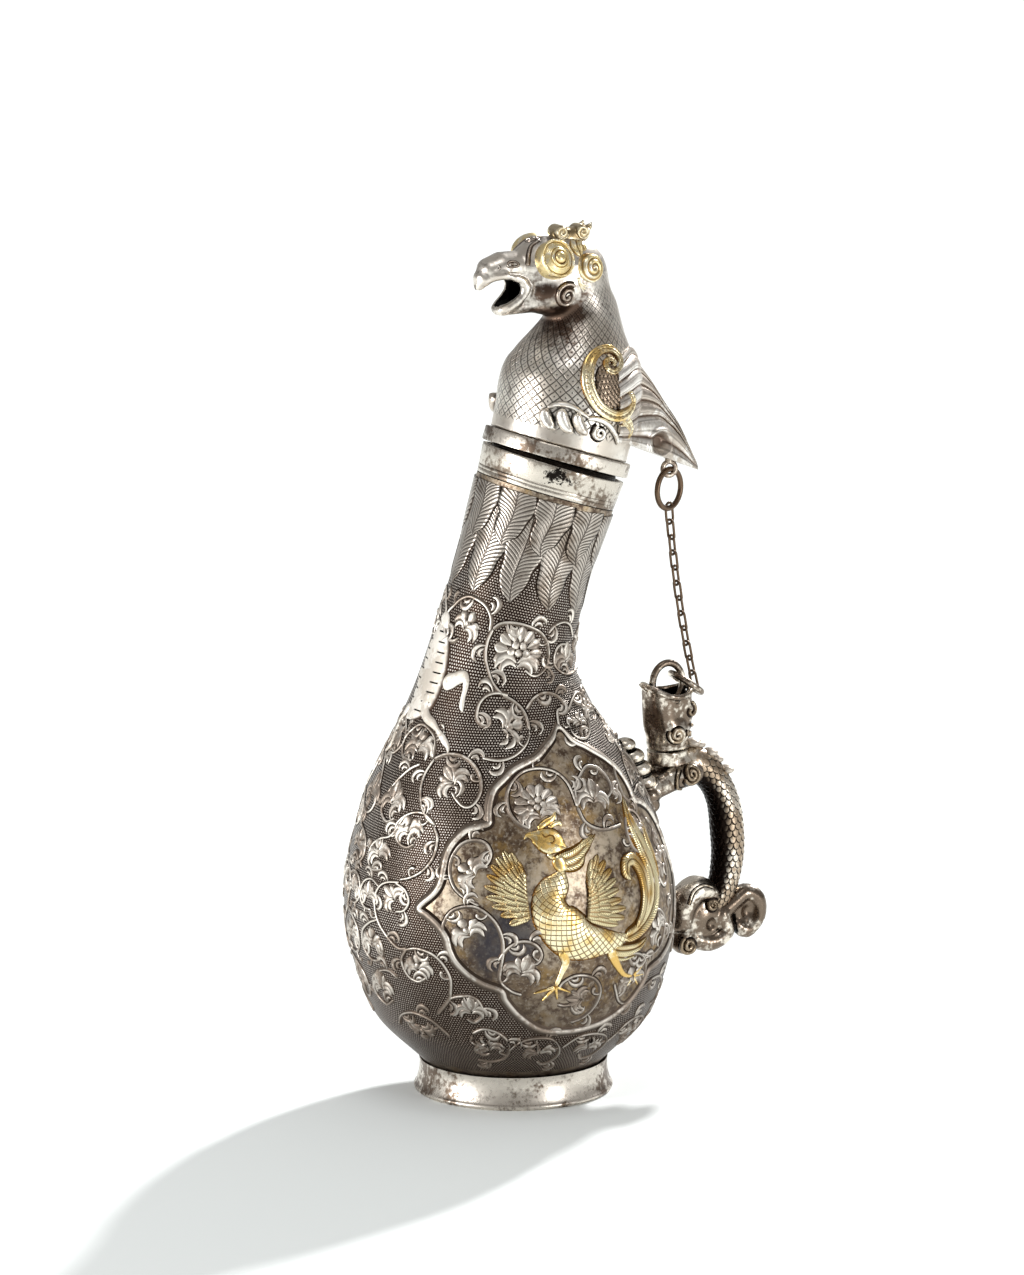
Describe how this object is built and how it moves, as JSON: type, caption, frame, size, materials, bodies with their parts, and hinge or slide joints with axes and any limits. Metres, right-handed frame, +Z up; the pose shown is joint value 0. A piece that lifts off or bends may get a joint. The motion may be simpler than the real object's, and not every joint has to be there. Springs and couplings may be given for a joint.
{
  "type": "flask",
  "caption": "Pear-shaped parcel-gilt silver flask with a leaning neck, a bird-headed cover that pours from its beak, a dragon handle, and a wire chain between cover and handle",
  "frame": {"origin": "on the table, under the middle of the flask's whole width and depth", "axes": "+Z up; +X towards the handle, with the beak towards -X; the medallion seen in the picture faces -Y"},
  "size_m": [0.1514, 0.1112, 0.2931],
  "materials": {
    "silver": "satin",
    "dark_silver": "satin, tarnished",
    "wire_silver": "satin, tarnished",
    "gilt": "satin"
  },
  "bodies": {
    "flask": {"vessel_body": "silver", "foot_ring": "silver", "mouth_band": "silver", "dragon_body": "dark_silver", "dragon_head": "dark_silver", "foreleg_left": "dark_silver", "foreleg_right": "dark_silver", "tail_scroll": "dark_silver"},
    "cover": {"cover_rim": "silver", "cover_sleeve": "dark_silver", "bird_shell": "silver", "wings_and_tail": "silver", "eye_boss_left": "gilt", "eye_boss_right": "gilt", "ear_scroll_left": "gilt", "ear_scroll_right": "gilt", "jaw_scroll_left": "silver", "jaw_scroll_right": "silver", "crest": "gilt", "wing_scroll_left": "gilt", "wing_scroll_right": "gilt", "talon_left": "silver", "talon_right": "silver", "tail_lug": "wire_silver"},
    "tail_ring": {"tail_ring": "wire_silver"},
    "mouth_ring": {"mouth_ring": "wire_silver"},
    "end_ring": {"end_ring": "wire_silver"},
    "chain_link_01": {"chain_link_01": "wire_silver"},
    "chain_link_02": {"chain_link_02": "wire_silver"},
    "chain_link_03": {"chain_link_03": "wire_silver"},
    "chain_link_04": {"chain_link_04": "wire_silver"},
    "chain_link_05": {"chain_link_05": "wire_silver"},
    "chain_link_06": {"chain_link_06": "wire_silver"},
    "chain_link_07": {"chain_link_07": "wire_silver"},
    "chain_link_08": {"chain_link_08": "wire_silver"},
    "chain_link_09": {"chain_link_09": "wire_silver"},
    "chain_link_10": {"chain_link_10": "wire_silver"},
    "chain_link_11": {"chain_link_11": "wire_silver"},
    "chain_link_12": {"chain_link_12": "wire_silver"}
  },
  "joints": [
    {"name": "cover_lift", "type": "slide", "parent": "flask", "child": "cover", "axis": [0.3146, 0, 0.9492], "range_m": [0, 0.02]},
    {"name": "tail_ring_swing", "type": "hinge", "parent": "cover", "child": "tail_ring", "pos_m": [0.03832, 0.00024, 0.2051], "axis": [-0.454, 0.891, 0], "range_deg": [-20, 0]},
    {"name": "chain_link_01_swing", "type": "hinge", "parent": "tail_ring", "child": "chain_link_01", "pos_m": [0.03832, 0.00024, 0.1919], "axis": [-0.4541, 0.891, 0.0013], "range_deg": [-15, 0]},
    {"name": "chain_link_02_swing", "type": "hinge", "parent": "chain_link_01", "child": "chain_link_02", "pos_m": [0.03898, 0.00059, 0.18652], "axis": [-0.881, -0.4493, -0.1483], "range_deg": [-15, 15]},
    {"name": "chain_link_03_swing", "type": "hinge", "parent": "chain_link_02", "child": "chain_link_03", "pos_m": [0.03971, 0.00093, 0.18115], "axis": [-0.4532, 0.8913, -0.0105], "range_deg": [-15, 0]},
    {"name": "chain_link_04_swing", "type": "hinge", "parent": "chain_link_03", "child": "chain_link_04", "pos_m": [0.0405, 0.00127, 0.17579], "axis": [-0.8773, -0.4486, -0.1708], "range_deg": [-15, 15]},
    {"name": "chain_link_05_swing", "type": "hinge", "parent": "chain_link_04", "child": "chain_link_05", "pos_m": [0.04137, 0.00161, 0.17044], "axis": [-0.4521, 0.8917, -0.0222], "range_deg": [-15, 0]},
    {"name": "chain_link_06_swing", "type": "hinge", "parent": "chain_link_05", "child": "chain_link_06", "pos_m": [0.04231, 0.00196, 0.1651], "axis": [-0.873, -0.4479, -0.193], "range_deg": [-15, 15]},
    {"name": "chain_link_07_swing", "type": "hinge", "parent": "chain_link_06", "child": "chain_link_07", "pos_m": [0.04331, 0.0023, 0.15977], "axis": [-0.4506, 0.8921, -0.0337], "range_deg": [-15, 0]},
    {"name": "chain_link_08_swing", "type": "hinge", "parent": "chain_link_07", "child": "chain_link_08", "pos_m": [0.04438, 0.00264, 0.15446], "axis": [-0.8683, -0.4472, -0.2148], "range_deg": [-15, 15]},
    {"name": "chain_link_09_swing", "type": "hinge", "parent": "chain_link_08", "child": "chain_link_09", "pos_m": [0.04552, 0.00297, 0.14916], "axis": [-0.4489, 0.8924, -0.0451], "range_deg": [-15, 0]},
    {"name": "chain_link_10_swing", "type": "hinge", "parent": "chain_link_09", "child": "chain_link_10", "pos_m": [0.04672, 0.00331, 0.14387], "axis": [-0.8631, -0.4466, -0.236], "range_deg": [-15, 15]},
    {"name": "chain_link_11_swing", "type": "hinge", "parent": "chain_link_10", "child": "chain_link_11", "pos_m": [0.04798, 0.00365, 0.1386], "axis": [-0.447, 0.8928, -0.0562], "range_deg": [-15, 1]},
    {"name": "chain_link_12_swing", "type": "hinge", "parent": "chain_link_11", "child": "chain_link_12", "pos_m": [0.04932, 0.00398, 0.13335], "axis": [-0.8574, -0.4459, -0.2568], "range_deg": [-15, 15]},
    {"name": "mouth_ring_rock", "type": "hinge", "parent": "flask", "child": "mouth_ring", "pos_m": [0.0379, 0, 0.1278], "axis": [0, 1, 0], "range_deg": [-6, 6]},
    {"name": "end_ring_tilt", "type": "hinge", "parent": "mouth_ring", "child": "end_ring", "pos_m": [0.04348, 0, 0.13281], "axis": [0, 1, 0], "range_deg": [-3, 3]}
  ]
}
